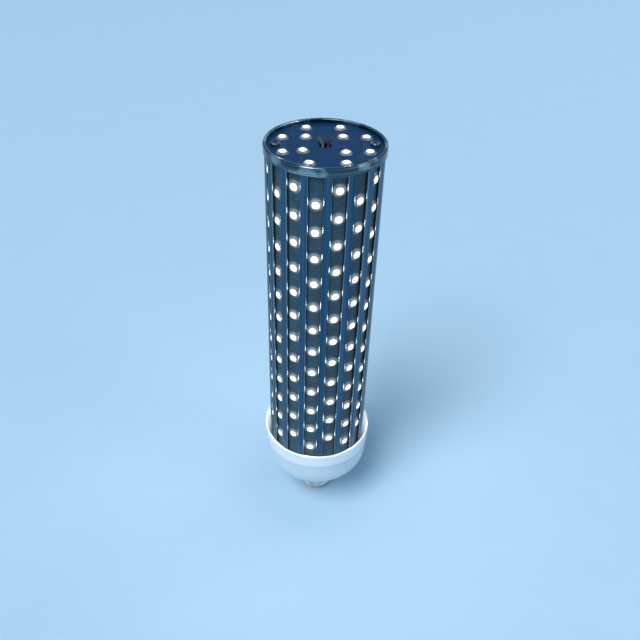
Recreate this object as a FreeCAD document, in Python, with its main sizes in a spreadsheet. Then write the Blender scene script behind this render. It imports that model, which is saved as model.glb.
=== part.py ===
import FreeCAD, Part
import math
import os
import re
import Sketcher

# Corn bulb: a screw-cap lamp whose light strips stand in the slots of an aluminium tube.
# The bulb stands upright on its centre contact at z = 0, with the tube's two screw channels
# on the X axis. Millimetres and degrees throughout.

SIZES = {
    # screw cap
    "contact_radius": 4.8,
    "contact_height": 1.2,
    "contact_round": 0.7,
    "rivet_radius": 1.5,
    "rivet_stand": 2.0,
    "rivet_clearance": 0.1,
    "insulator_cone": 3.4,
    "insulator_margin": 0.8,
    "insulator_flange": 2.0,
    "insulator_clearance": 0.2,
    "shell_wall": 0.7,
    "shell_lip": 1.0,
    "shell_lead_in": 2.5,
    "lip_flat": 0.8,
    "thread_crest": 13.1,
    "thread_depth": 1.0,
    "thread_pitch": 3.629,
    "thread_length": 16.8,
    "thread_runout": 1.9,
    "groove_mouth": 2.6,
    "groove_root": 0.9,
    "groove_overrun": 0.3,
    "groove_stop": 0.9,
    "collar_step": 0.25,
    "collar_length": 5.1,
    # bowl
    "neck_step": 0.85,
    "neck_length": 3.5,
    "neck_fillet": 0.6,
    "plug_wall": 2.3,
    "plug_length": 2.4,
    "plug_clearance": 0.1,
    "bowl_wall": 1.8,
    "bowl_round": 18.0,
    "bowl_depth": 28.5,
    "rim_band": 10.2,
    "rim_flare": 1.1,
    "crease_step": 0.4,
    "air_gap": 2.2,
    "tube_insert": 10.7,
    "rail_height": 20.0,
    "rail_wall": 1.4,
    "rail_grip": 2.5,
    "rail_clearance": 0.1,
    # slotted tube
    "column_count": 16,
    "tee_radius": 34.6,
    "tee_depth": 3.7,
    "tube_wall": 2.4,
    "rib_stem": 1.95,
    "strip_thickness": 1.2,
    "strip_clearance": 0.15,
    "strip_end_gap": 0.2,
    "lip_clearance": 0.15,
    "lip_grip": 0.95,
    "lip_land": 1.15,
    # lights
    "led_count": 12,
    "led_pitch": 17.446,
    "led_stagger": 8.52,
    "led_foot": 15.8,
    "led_head": 10.3,
    "led_side": 5.0,
    "led_height": 1.6,
    # top end
    "flange_thickness": 0.8,
    "flange_reach": 8.4,
    "board_thickness": 1.0,
    "board_recess": 2.4,
    "board_clearance": 0.15,
    "board_hole": 3.6,
    "skirt_drop": 1.0,
    "skirt_wall": 0.7,
    "ring_rim": 2.05,
    "ring_clearance": 0.15,
    "ring_round": 0.8,
    "ring_inner_round": 0.5,
    "outer_led_count": 8,
    "outer_led_inset": 6.95,
    "inner_led_count": 3,
    "inner_led_circle": 15.3,
    "inner_led_start": -45.0,
    "inner_led_sweep": 180.0,
    "odd_led_angle": 212.0,
    # screws
    "screw_shank": 1.45,
    "screw_clearance": 0.05,
    "screw_head": 2.75,
    "screw_head_height": 2.0,
    "screw_head_round": 1.1,
    "screw_grip": 8.2,
    "screw_inset": 2.4,
    "screw_slot": 0.7,
    "screw_slot_reach": 1.5,
    "screw_slot_depth": 1.0,
    "boss_radius": 3.0,
    "post_wall": 1.0,
    "post_grip": 8.4,
    "head_clearance": 0.25,
    "hole_clearance": 0.2,
    # link ring and its solder joints
    "link_thickness": 1.6,
    "link_clearance": 0.15,
    "link_ledge": 1.2,
    "joint_width": 2.4,
    "joint_height": 0.8,
    "joint_overlap": 1.4,
    # driver
    "liner_wall": 0.5,
    "liner_clearance": 0.3,
    "liner_over": 4.0,
    "driver_thickness": 1.6,
    "driver_clearance": 3.4,
    "driver_lift": 0.8,
    "lead_room": 12.0,
    "part_gap": 3.0,
    "seat_gap": 0.2,
    "choke_radius": 5.0,
    "choke_height": 12.0,
    "film_length": 12.0,
    "film_width": 18.0,
    "film_height": 6.5,
    "bulk_radius": 8.0,
    "bulk_length": 26.0,
    "core_length": 22.0,
    "core_width": 20.0,
    "core_leg": 6.0,
    "core_outer_leg": 2.5,
    "core_yoke": 4.0,
    "core_thickness": 7.0,
    "winding_height": 15.0,
    "winding_clearance": 0.3,
    "output_radius": 6.3,
    "output_length": 16.0,
    "rectifier_length": 7.0,
    "rectifier_width": 9.0,
    "rectifier_height": 3.0,
    "fuse_radius": 2.2,
    "fuse_length": 9.0,
    "chip_length": 5.0,
    "chip_width": 4.0,
    "chip_height": 1.8,
    # wires
    "lead_radius": 0.8,
    "top_lead_radius": 0.95,
    "lead_clearance": 0.1,
    "cap_lead_across": 3.5,
    "cap_lead_room": 6.0,
    "ring_lead_across": 10.0,
    "ring_lead_dip": 6.0,
    "ring_lead_angle": 30.0,
    "ring_lead_inset": 1.2,
    "top_lead_across": 9.0,
    "top_lead_slack": 22.0,
    "top_lead_margin": 0.3,
    "white_rise_angle": 240.0,
    "white_end_across": -3.2,
    "white_end_along": 7.6,
    "red_rise_angle": 305.0,
    "red_end_across": 2.7,
    "red_end_along": 8.6,
}

# Sizes and places that follow from the ones above.
DERIVED = {
    "shell_foot": "contact_height + insulator_cone",
    "collar_foot": "shell_foot + thread_length",
    "cap_top": "collar_foot + collar_length",
    "flange_foot": "shell_foot + shell_lip",
    "flange_top": "flange_foot + insulator_flange",
    "rivet_top": "flange_top + rivet_stand",
    "insulator_nose": "contact_radius + insulator_margin",
    "thread_root": "thread_crest - thread_depth",
    "shell_bore": "thread_root - shell_wall",
    "lip_hole": "thread_crest - shell_lead_in - lip_flat",
    "collar_radius": "thread_crest + collar_step",
    "groove_start": "shell_foot - thread_runout",
    "groove_rise": "collar_foot - groove_stop - groove_mouth / 2 - groove_start",
    "neck_radius": "collar_radius + neck_step",
    "plug_radius": "shell_bore - plug_clearance",
    "plug_foot": "cap_top - plug_length",
    "neck_bore": "plug_radius - plug_wall",
    "bowl_floor": "cap_top + neck_length",
    "rim_inner": "tee_radius + air_gap",
    "rim_radius": "rim_inner + bowl_wall",
    "side_radius": "rim_radius - rim_flare",
    "round_across": "side_radius - bowl_round",
    "round_height": "bowl_floor + bowl_round",
    "crease_height": "bowl_floor + bowl_depth",
    "rim_height": "crease_height + rim_band",
    "column_step": "360 / column_count",
    "slot_floor": "tee_radius - tee_depth",
    "strip_face": "slot_floor + strip_thickness",
    "lip_under": "strip_face + lip_clearance",
    "bevel_foot": "lip_under + lip_land",
    "slot_half": "(slot_floor * sin(column_step / 2) - rib_stem / 2) / cos(column_step / 2)",
    "strip_width": "2 * (slot_half - strip_clearance)",
    "mouth_half": "strip_width / 2 - lip_grip",
    "tube_bore": "slot_floor - tube_wall",
    "tube_foot": "rim_height - tube_insert",
    "first_led": "tube_foot + led_foot",
    "tube_top": "first_led + led_stagger + (led_count - 1) * led_pitch + led_head",
    "tube_length": "tube_top - tube_foot",
    "screw_circle": "slot_floor - screw_inset",
    "screw_bore": "screw_shank + screw_clearance",
    "screw_hole": "screw_shank + hole_clearance",
    "board_foot": "tube_top + flange_thickness",
    "board_top": "board_foot + board_thickness",
    "ring_top": "board_top + board_recess",
    "ring_foot": "tube_top - skirt_drop",
    "ring_skirt": "tee_radius + ring_clearance",
    "ring_outer": "ring_skirt + skirt_wall",
    "ring_inner": "ring_outer - ring_rim",
    "flange_inner": "ring_inner - flange_reach",
    "board_radius": "ring_inner - board_clearance",
    "outer_led_circle": "board_radius - outer_led_inset",
    "link_foot": "tube_foot - link_thickness",
    "link_outer": "slot_floor - link_clearance",
    "liner_outer": "screw_circle - boss_radius - liner_clearance",
    "liner_inner": "liner_outer - liner_wall",
    "link_inner": "liner_inner - link_ledge",
    "post_radius": "screw_head + head_clearance + post_wall",
    "post_seat": "link_foot - post_grip",
    "driver_half": "link_inner - driver_clearance",
    "driver_face": "driver_thickness / 2",
    "driver_foot": "bowl_floor + bowl_wall + driver_lift",
    "choke_foot": "driver_foot + lead_room",
    "film_foot": "choke_foot + 2 * choke_radius + part_gap",
    "bulk_foot": "film_foot + film_length + part_gap",
    "core_foot": "bulk_foot + bulk_length + part_gap",
    "output_foot": "core_foot + core_length + part_gap",
    "driver_top": "output_foot + output_length + lead_room",
    "liner_top": "driver_top + liner_over",
    "window_half": "core_width / 2 - core_outer_leg",
    "winding_middle": "driver_face + winding_height / 2",
    "lead_across": "driver_face + lead_radius + lead_clearance",
    "top_lead_lie": "board_top + top_lead_radius + lead_clearance",
    "top_lead_start": "driver_face + top_lead_radius + lead_clearance",
    "top_lead_circle": "board_hole - top_lead_radius - top_lead_margin",
    "ring_lead_circle": "link_inner + ring_lead_inset",
    "cap_lead_bend": "cap_top - cap_lead_room",
    "cap_lead_wall": "neck_bore - lead_radius - lead_clearance",
    "cap_lead_exit": "(flange_top + plug_foot) / 2",
}

doc = FreeCAD.newDocument("corn_bulb")
sheet = doc.addObject("Spreadsheet::Sheet", "sizes")
for row, (alias, number) in enumerate(SIZES.items(), start=1):
    sheet.set("A%d" % row, str(number))
    sheet.setAlias("A%d" % row, alias)
doc.recompute()

# the two screw channels and what stands in line with them
SIDES = ((1, "right"), (-1, "left"))

pieces = {}


def expression(text):
    """The text with each derived name spelled out and each size read from the sheet."""

    def spell(match):
        word = match.group()
        if word in DERIVED:
            return "(" + expression(DERIVED[word]) + ")"
        return "sizes." + word if word in SIZES else word

    return re.sub(r"[a-z][a-z_]*", spell, str(text))


def value(text):
    """The number that an expression gives with the sheet's sizes."""
    return float(sheet.evalExpression(expression(text)))


def bind(thing, **settings):
    """Bind properties to expressions; a double underscore stands for a dot."""
    for name, text in settings.items():
        thing.setExpression(name.replace("__", "."), expression(text))


def piece(thing, label):
    """Name a finished sub-part, which is written under that name."""
    thing.Label = label
    pieces[label] = thing
    return thing


def origin(body, role):
    """One of the body's own origin planes or axes."""
    return next(f for f in body.Origin.OriginFeatures if f.Role == role)


def new_body(name):
    return doc.addObject("PartDesign::Body", name)


def new_sketch(body, plane, height=None, turn=None):
    """A sketch on one of the body's planes, lifted along its normal and turned about it."""
    sketch = body.newObject("Sketcher::SketchObject", body.Name + "_sketch")
    sketch.AttachmentSupport = [(origin(body, plane), "")]
    sketch.MapMode = "FlatFace"
    if height is not None:
        bind(sketch, AttachmentOffset__Base__z=height)
    if turn is not None:
        bind(sketch, AttachmentOffset__Rotation__Angle=turn)
    return sketch


def hold(sketch, kind, geometry, point, text):
    """Fix one point's distance from the sketch's origin."""
    index = sketch.addConstraint(Sketcher.Constraint(kind, -1, 1, geometry, point, value(text)))
    sketch.setExpression("Constraints[%d]" % index, expression(text))


def arc_middle(start, end, radius, turn):
    """The middle of the shorter arc between two points; turn is 1 for anticlockwise."""
    chord = end - start
    sag = radius - math.sqrt(max(radius**2 - (chord.Length / 2) ** 2, 0))
    across = FreeCAD.Vector(chord.y, -chord.x, 0).normalize()
    return (start + end) / 2 + across * sag * turn


def draw_outline(sketch, corners):
    """A closed outline through corners (across, along); a corner that adds (radius, turn) starts an arc."""
    spots = [FreeCAD.Vector(value(c[0]), value(c[1]), 0) for c in corners]
    first = sketch.GeometryCount
    ends = []
    for index, corner in enumerate(corners):
        start = spots[index]
        end = spots[(index + 1) % len(corners)]
        if len(corner) > 2:
            middle = arc_middle(start, end, value(corner[2]), corner[3])
            line = sketch.addGeometry(Part.Arc(start, middle, end))
            radius = sketch.addConstraint(Sketcher.Constraint("Radius", line, value(corner[2])))
            sketch.setExpression("Constraints[%d]" % radius, expression(corner[2]))
        else:
            line = sketch.addGeometry(Part.LineSegment(start, end))
        from_first = sketch.getPoint(line, 1).distanceToPoint(start)
        from_last = sketch.getPoint(line, 2).distanceToPoint(start)
        ends.append((1, 2) if from_first < from_last else (2, 1))
    for index, corner in enumerate(corners):
        after = (index + 1) % len(corners)
        line = first + index
        meeting = (line, ends[index][1], first + after, ends[after][0])
        sketch.addConstraint(Sketcher.Constraint("Coincident", *meeting))
        hold(sketch, "DistanceX", line, ends[index][0], corner[0])
        hold(sketch, "DistanceY", line, ends[index][0], corner[1])


def draw_circle(sketch, across, along, radius):
    centre = FreeCAD.Vector(value(across), value(along), 0)
    circle = sketch.addGeometry(Part.Circle(centre, FreeCAD.Vector(0, 0, 1), value(radius)))
    size = sketch.addConstraint(Sketcher.Constraint("Radius", circle, value(radius)))
    sketch.setExpression("Constraints[%d]" % size, expression(radius))
    hold(sketch, "DistanceX", circle, 3, across)
    hold(sketch, "DistanceY", circle, 3, along)


def rectangle(left, right, low, high):
    return [(left, low), (right, low), (right, high), (left, high)]


def turned(body, corners, feature="PartDesign::Revolution"):
    """Turn an outline in the XZ plane about the Z axis."""
    sketch = new_sketch(body, "XZ_Plane")
    draw_outline(sketch, corners)
    shape = body.newObject(feature, body.Name + "_turned")
    shape.Profile = sketch
    shape.ReferenceAxis = (sketch, ["V_Axis"])
    shape.Angle = 360
    return shape


def padded(body, sketch, length):
    pad = body.newObject("PartDesign::Pad", body.Name + "_pad")
    pad.Profile = sketch
    bind(pad, Length=length)
    return pad


def pocketed(body, sketch, length):
    """Cut a sketch upwards, the way its normal points, through the given length."""
    pocket = body.newObject("PartDesign::Pocket", body.Name + "_pocket")
    pocket.Profile = sketch
    pocket.Reversed = True
    bind(pocket, Length=length)
    return pocket


def around(body, feature, count, angle=None):
    """Repeat a feature about the Z axis, over a full turn or from its place through an angle."""
    pattern = body.newObject("PartDesign::PolarPattern", body.Name + "_around")
    pattern.Originals = [feature]
    pattern.Axis = (origin(body, "Z_Axis"), [""])
    bind(pattern, Occurrences=count, Angle="360" if angle is None else angle)
    body.Tip = pattern
    return pattern


def upright(body, feature, count, length):
    """Repeat a feature upwards over a length."""
    pattern = body.newObject("PartDesign::LinearPattern", body.Name + "_upright")
    pattern.Originals = [feature]
    pattern.Direction = (origin(body, "Z_Axis"), [""])
    bind(pattern, Occurrences=count, Length=length)
    body.Tip = pattern
    return pattern


def box(name, low, size):
    """A box from its lowest corner and its size."""
    thing = doc.addObject("Part::Box", name)
    bind(thing, Length=size[0], Width=size[1], Height=size[2])
    bind(thing, Placement__Base__x=low[0], Placement__Base__y=low[1], Placement__Base__z=low[2])
    return thing


def cylinder(name, foot, radius, height, axis=(0, 0, 1)):
    """A cylinder from the middle of its foot along an axis."""
    thing = doc.addObject("Part::Cylinder", name)
    bind(thing, Radius=radius, Height=height)
    thing.Placement.Rotation = FreeCAD.Rotation(FreeCAD.Vector(0, 0, 1), FreeCAD.Vector(*axis))
    bind(thing, Placement__Base__x=foot[0], Placement__Base__y=foot[1], Placement__Base__z=foot[2])
    return thing


def cut(name, base, tool):
    thing = doc.addObject("Part::Cut", name)
    thing.Base = base
    thing.Tool = tool
    return thing


def joined(name, shapes, kind="Part::MultiFuse"):
    thing = doc.addObject(kind, name)
    thing.Shapes = shapes
    return thing


# Screw cap
def make_centre_contact():
    body = new_body("centre_contact")
    turned(body, [
        ("0", "0"),
        ("contact_radius - contact_round", "0", "contact_round", 1),
        ("contact_radius", "contact_round"),
        ("contact_radius", "contact_height"),
        ("rivet_radius", "contact_height"),
        ("rivet_radius", "rivet_top"),
        ("0", "rivet_top"),
    ])
    piece(body, "centre_contact")


def make_cap_insulator():
    body = new_body("cap_insulator")
    hole = "rivet_radius + rivet_clearance"
    waist = "lip_hole - insulator_clearance / 2"
    turned(body, [
        (hole, "contact_height"),
        ("insulator_nose", "contact_height"),
        (waist, "shell_foot"),
        (waist, "flange_foot"),
        ("shell_bore - insulator_clearance", "flange_foot"),
        ("shell_bore - insulator_clearance", "flange_top"),
        (hole, "flange_top"),
    ])
    piece(body, "cap_insulator")


def make_cap_shell():
    body = new_body("cap_shell")
    turned(body, [
        ("lip_hole", "shell_foot"),
        ("thread_crest - shell_lead_in", "shell_foot", "shell_lead_in", 1),
        ("thread_crest", "shell_foot + shell_lead_in"),
        ("thread_crest", "collar_foot"),
        ("collar_radius", "collar_foot"),
        ("collar_radius", "cap_top"),
        ("shell_bore", "cap_top"),
        ("shell_bore", "flange_foot"),
        ("lip_hole", "flange_foot"),
    ])
    doc.recompute()
    # the groove winds up from below the lip and stops short of the collar
    mouth = "thread_crest + groove_overrun"
    half = "groove_mouth / 2 + groove_overrun * (groove_mouth - groove_root) / (2 * thread_depth)"
    sketch = new_sketch(body, "XZ_Plane")
    draw_outline(sketch, [
        ("thread_root", "groove_start - groove_root / 2"),
        (mouth, f"groove_start - ({half})"),
        (mouth, f"groove_start + {half}"),
        ("thread_root", "groove_start + groove_root / 2"),
    ])
    doc.recompute()
    groove = body.newObject("PartDesign::SubtractiveHelix", "cap_thread")
    groove.Profile = sketch
    groove.ReferenceAxis = (sketch, ["V_Axis"])
    groove.Mode = "pitch-height-angle"
    bind(groove, Pitch="thread_pitch", Height="groove_rise")
    piece(body, "cap_shell")


# Bowl
def bowl_outside():
    """The bowl's outer side, from the neck up to where the rim's round edge starts."""
    return [
        ("neck_radius", "cap_top"),
        ("neck_radius", "bowl_floor - neck_fillet", "neck_fillet", -1),
        ("neck_radius + neck_fillet", "bowl_floor"),
        ("round_across", "bowl_floor", "bowl_round", 1),
        ("side_radius", "round_height"),
        ("side_radius", "crease_height - crease_step"),
        ("rim_radius - crease_step", "crease_height"),
        ("rim_radius", "rim_height - bowl_wall / 2", "bowl_wall / 2", 1),
    ]


def make_bowl_shell():
    body = new_body("bowl_shell")
    turned(body, bowl_outside() + [
        ("rim_radius - bowl_wall / 2", "rim_height", "bowl_wall / 2", 1),
        ("rim_inner", "rim_height - bowl_wall / 2"),
        ("side_radius - bowl_wall", "round_height", "bowl_round - bowl_wall", -1),
        ("round_across", "bowl_floor + bowl_wall"),
        ("neck_bore", "bowl_floor + bowl_wall"),
        ("neck_bore", "plug_foot"),
        ("plug_radius", "plug_foot"),
        ("plug_radius", "cap_top"),
    ])
    return body


def make_rail(name, side):
    """An upright with a groove for one edge of the driver board."""
    across = "driver_face + rail_clearance"
    near = "driver_half - rail_grip"
    depth = "rail_grip + rail_clearance + rail_wall"
    low = near if side > 0 else f"-({near}) - ({depth})"
    rail = box(
        f"rail_{name}",
        (f"-({across}) - rail_wall", low, "bowl_floor + bowl_wall / 2"),
        (f"2 * ({across} + rail_wall)", depth, "rail_height"),
    )
    groove_depth = "rail_grip + 2 * rail_clearance"
    inset = f"{near} - rail_clearance"
    groove_low = inset if side > 0 else f"-({inset}) - ({groove_depth})"
    groove = box(
        f"rail_groove_{name}",
        (f"-({across})", groove_low, "bowl_floor + bowl_wall"),
        (f"2 * ({across})", groove_depth, "rail_height"),
    )
    return cut(f"rail_grooved_{name}", rail, groove)


def make_base_bowl():
    envelope = new_body("bowl_envelope")
    turned(envelope, bowl_outside() + [
        ("rim_radius - bowl_wall / 2", "rim_height"),
        ("0", "rim_height"),
        ("0", "cap_top"),
    ])
    fittings = []
    holes = []
    for side, name in SIDES:
        across = f"{side} * screw_circle"
        below = (across, "0", "cap_top")
        post_foot = (across, "0", "bowl_floor")
        fittings.append(cylinder(f"post_{name}", post_foot, "post_radius", "link_foot - bowl_floor"))
        fittings.append(make_rail(name, side))
        holes.append(cylinder(f"well_{name}", below, "screw_head + head_clearance", "post_seat - cap_top"))
        holes.append(cylinder(f"hole_{name}", below, "screw_hole", "link_foot - cap_top"))
    trimmed = joined("bowl_inside", [joined("bowl_fittings", fittings), envelope], "Part::MultiCommon")
    solid = joined("bowl_solid", [make_bowl_shell(), trimmed])
    piece(cut("bowl_drilled", solid, joined("bowl_holes", holes)), "base_bowl")


# Slotted tube with its strips and lights
def make_heat_sink():
    body = new_body("heat_sink")
    sketch = new_sketch(body, "XY_Plane", "tube_foot")
    draw_circle(sketch, "0", "0", "tee_radius")
    draw_circle(sketch, "0", "0", "tube_bore")
    padded(body, sketch, "tube_length")
    sketch = new_sketch(body, "XY_Plane", "tube_foot")
    draw_circle(sketch, "screw_circle", "0", "boss_radius")
    draw_circle(sketch, "-screw_circle", "0", "boss_radius")
    padded(body, sketch, "tube_length")
    doc.recompute()
    # one slot: its floor and sides, the two lips over the strip, and the bevels of the rib heads
    sketch = new_sketch(body, "XY_Plane", "tube_foot", "column_step / 2")
    half = [
        ("slot_floor", "slot_half"),
        ("lip_under", "slot_half"),
        ("lip_under", "mouth_half"),
        ("bevel_foot", "mouth_half"),
        ("bevel_foot + tee_depth", "mouth_half + tee_depth"),
    ]
    draw_outline(sketch, [(x, f"-({y})") for x, y in half] + half[::-1])
    around(body, pocketed(body, sketch, "tube_length"), "column_count")
    sketch = new_sketch(body, "XY_Plane", "tube_foot")
    draw_circle(sketch, "screw_circle", "0", "screw_bore")
    draw_circle(sketch, "-screw_circle", "0", "screw_bore")
    body.Tip = pocketed(body, sketch, "tube_length")
    piece(body, "heat_sink")


def make_columns():
    """The light strips, and a row of lights on each; every other row stands half a step higher."""
    for column in range(int(value("column_count"))):
        turn = f"column_step * {column + 0.5}"
        strip = new_body("strip_%02d" % (column + 1))
        sketch = new_sketch(strip, "XY_Plane", "link_foot")
        draw_outline(sketch, rectangle("slot_floor", "strip_face", "-strip_width / 2", "strip_width / 2"))
        padded(strip, sketch, "tube_top - strip_end_gap - link_foot")
        bind(strip, Placement__Rotation__Angle=turn)
        piece(strip, "strip_board_%02d" % (column + 1))
        row = new_body("row_%02d" % (column + 1))
        lift = "0" if column % 2 else "led_stagger"
        sketch = new_sketch(row, "YZ_Plane", "strip_face")
        low = f"first_led + {lift} - led_side / 2"
        draw_outline(sketch, rectangle("-led_side / 2", "led_side / 2", low, f"{low} + led_side"))
        led = padded(row, sketch, "led_height")
        upright(row, led, "led_count", "led_pitch * (led_count - 1)")
        bind(row, Placement__Rotation__Angle=turn)
        piece(row, "led_row_%02d" % (column + 1))


# Top end
def make_end_ring():
    body = new_body("end_ring")
    turned(body, [
        ("ring_skirt", "ring_foot"),
        ("ring_outer", "ring_foot"),
        ("ring_outer", "ring_top - ring_round", "ring_round", 1),
        ("ring_outer - ring_round", "ring_top"),
        ("ring_inner + ring_inner_round", "ring_top", "ring_inner_round", 1),
        ("ring_inner", "ring_top - ring_inner_round"),
        ("ring_inner", "board_foot"),
        ("flange_inner", "board_foot"),
        ("flange_inner", "tube_top"),
        ("ring_skirt", "tube_top"),
    ])
    sketch = new_sketch(body, "XY_Plane", "tube_top")
    draw_circle(sketch, "screw_circle", "0", "screw_hole")
    draw_circle(sketch, "-screw_circle", "0", "screw_hole")
    body.Tip = pocketed(body, sketch, "flange_thickness")
    piece(body, "end_ring")


def make_top_board():
    body = new_body("top_board")
    sketch = new_sketch(body, "XY_Plane", "board_foot")
    draw_circle(sketch, "0", "0", "board_radius")
    draw_circle(sketch, "0", "0", "board_hole")
    draw_circle(sketch, "screw_circle", "0", "screw_hole")
    draw_circle(sketch, "-screw_circle", "0", "screw_hole")
    padded(body, sketch, "board_thickness")
    piece(body, "top_board")


def make_top_leds():
    """A circle of lights in line with the ribs, and four nearer the middle, one of them off the square."""
    body = new_body("top_leds")
    rows = [
        ("outer_led_circle", "180 / outer_led_count", "outer_led_count", None),
        ("inner_led_circle", "inner_led_start", "inner_led_count", "inner_led_sweep"),
        ("inner_led_circle", "odd_led_angle", "1", None),
    ]
    for circle, turn, count, angle in rows:
        sketch = new_sketch(body, "XY_Plane", "board_top", turn)
        near = f"{circle} - led_side / 2"
        draw_outline(sketch, rectangle(near, f"{circle} + led_side / 2", "-led_side / 2", "led_side / 2"))
        led = padded(body, sketch, "led_height")
        if count != "1":
            doc.recompute()
            around(body, led, count, angle)
    body.Tip = led
    piece(body, "top_leds")


# Screws
def make_screws(label, seat, reach, way):
    """Two pan-head screws on the X axis; way is 1 for heads above their seat and -1 for heads below."""
    body = new_body(label)
    top = f"{seat} + {way} * screw_head_height"
    corners = [
        ("0", f"{seat} - {way} * ({reach})"),
        ("screw_shank", f"{seat} - {way} * ({reach})"),
        ("screw_shank", seat),
        ("screw_head", seat),
        ("screw_head", f"{top} - {way} * screw_head_round", "screw_head_round", way),
        ("screw_head - screw_head_round", top),
        ("0", top),
    ]
    turned(body, corners)
    # cross recess in the head
    floor = f"{top} - {way} * screw_slot_depth"
    sketch = new_sketch(body, "XY_Plane", floor)
    arm, half = "screw_slot_reach", "screw_slot / 2"
    quarter = [(half, arm), (half, half), (arm, half)]
    cross = list(quarter)
    cross += [(x, f"-{y}") for x, y in quarter[::-1]]
    cross += [(f"-{x}", f"-{y}") for x, y in quarter]
    cross += [(f"-{x}", y) for x, y in quarter[::-1]]
    draw_outline(sketch, cross)
    recess = pocketed(body, sketch, "screw_slot_depth")
    recess.Reversed = way > 0
    body.Tip = recess
    doc.recompute()
    pair = []
    for side, name in SIDES:
        copy = doc.addObject("Part::Compound", f"{label}_{name}")
        copy.Links = [body]
        bind(copy, Placement__Base__x=f"{side} * screw_circle")
        pair.append(copy)
    both = doc.addObject("Part::Compound", f"{label}_pair")
    both.Links = pair
    piece(both, label)


# Driver and what joins it to the strips
def make_link_ring():
    body = new_body("link_ring")
    sketch = new_sketch(body, "XY_Plane", "link_foot")
    draw_circle(sketch, "0", "0", "link_outer")
    draw_circle(sketch, "0", "0", "link_inner")
    draw_circle(sketch, "screw_circle", "0", "screw_hole")
    draw_circle(sketch, "-screw_circle", "0", "screw_hole")
    padded(body, sketch, "link_thickness")
    piece(body, "link_ring")
    joints = new_body("strip_joints")
    sketch = new_sketch(joints, "XY_Plane", "link_foot - joint_height", "column_step / 2")
    near = "link_outer - joint_overlap"
    draw_outline(sketch, rectangle(near, "strip_face", "-joint_width / 2", "joint_width / 2"))
    around(joints, padded(joints, sketch, "joint_height"), "column_count")
    piece(joints, "strip_joints")


def make_liner():
    body = new_body("liner")
    sketch = new_sketch(body, "XY_Plane", "tube_foot")
    draw_circle(sketch, "0", "0", "liner_outer")
    draw_circle(sketch, "0", "0", "liner_inner")
    padded(body, sketch, "liner_top - tube_foot")
    piece(body, "insulating_liner")


def make_driver():
    board = ("-driver_face", "-driver_half", "driver_foot")
    board_size = ("driver_thickness", "2 * driver_half", "driver_top - driver_foot")
    piece(box("board", board, board_size), "driver_board")
    choke = ("driver_face", "0", "choke_foot + choke_radius")
    piece(cylinder("choke", choke, "choke_radius", "choke_height", (1, 0, 0)), "mains_choke")
    film = ("driver_face", "-film_width / 2", "film_foot")
    piece(box("film", film, ("film_height", "film_width", "film_length")), "film_capacitor")
    bulk = ("driver_face + seat_gap + bulk_radius", "0", "bulk_foot")
    piece(cylinder("bulk", bulk, "bulk_radius", "bulk_length"), "bulk_capacitor")
    output = ("driver_face + seat_gap + output_radius", "0", "output_foot")
    piece(cylinder("output", output, "output_radius", "output_length"), "output_capacitor")
    rectifier = ("-driver_face - rectifier_height", "-rectifier_width / 2", "choke_foot")
    rectifier_size = ("rectifier_height", "rectifier_width", "rectifier_length")
    piece(box("bridge", rectifier, rectifier_size), "rectifier")
    fuse = ("-driver_face - seat_gap - fuse_radius", "-fuse_length / 2", "film_foot + fuse_radius")
    piece(cylinder("fuse_body", fuse, "fuse_radius", "fuse_length", (0, 1, 0)), "fuse")
    chip = ("-driver_face - chip_height", "-chip_width / 2", "core_foot")
    piece(box("chip", chip, ("chip_height", "chip_width", "chip_length")), "switching_chip")


def make_transformer():
    """A core with a middle leg, and the winding round that leg, which stands on the driver board."""
    core = new_body("core")
    sketch = new_sketch(core, "YZ_Plane", "winding_middle - core_thickness / 2")
    top = "core_foot + core_length"
    draw_outline(sketch, rectangle("-core_width / 2", "core_width / 2", "core_foot", top))
    low = "core_foot + core_yoke"
    high = "core_foot + core_length - core_yoke"
    draw_outline(sketch, rectangle("core_leg / 2", "window_half", low, high))
    draw_outline(sketch, rectangle("-(window_half)", "-core_leg / 2", low, high))
    padded(core, sketch, "core_thickness")
    piece(core, "transformer_core")
    winding = new_body("winding")
    sketch = new_sketch(winding, "XY_Plane", f"{low} + winding_clearance")
    wide = "window_half - winding_clearance"
    draw_outline(sketch, rectangle("driver_face", "driver_face + winding_height", f"-({wide})", wide))
    across = "core_thickness / 2 + winding_clearance"
    leg = "core_leg / 2 + winding_clearance"
    near, far = f"winding_middle - ({across})", f"winding_middle + {across}"
    draw_outline(sketch, rectangle(near, far, f"-({leg})", leg))
    padded(winding, sketch, f"{high} - ({low}) - 2 * winding_clearance")
    piece(winding, "transformer_winding")


# how much of the shorter of its two runs a bend in a wire takes up
BEND_SHARE = 0.45


def wire_shape(radius, route):
    """A round wire along straight runs, with an arc at each bend as large as its two runs allow."""
    spots = [FreeCAD.Vector(*[value(text) for text in spot]) for spot in route]
    edges = []
    start = spots[0]
    for before, bend, after in zip(spots, spots[1:], spots[2:]):
        incoming = (bend - before).normalize()
        outgoing = (after - bend).normalize()
        half_turn = incoming.getAngle(outgoing) / 2
        back = BEND_SHARE * min((bend - before).Length, (after - bend).Length)
        middle_way = (outgoing - incoming).normalize()
        arc_radius = back / math.tan(half_turn)
        nearest = bend + middle_way * (arc_radius / math.cos(half_turn) - arc_radius)
        leaving = bend - incoming * back
        joining = bend + outgoing * back
        edges.append(Part.LineSegment(start, leaving).toShape())
        edges.append(Part.Arc(leaving, nearest, joining).toShape())
        start = joining
    edges.append(Part.LineSegment(start, spots[-1]).toShape())
    path = Part.Wire(edges)
    section = Part.Wire(Part.makeCircle(radius, spots[0], spots[1] - spots[0]))
    return path.makePipeShell([section], True, False)


def wires(name, label, radius, routes):
    thing = doc.addObject("Part::Feature", name)
    shapes = [wire_shape(value(radius), route) for route in routes]
    thing.Shape = shapes[0] if len(shapes) == 1 else Part.makeCompound(shapes)
    thing.Placement = FreeCAD.Placement()
    piece(thing, label)


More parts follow.
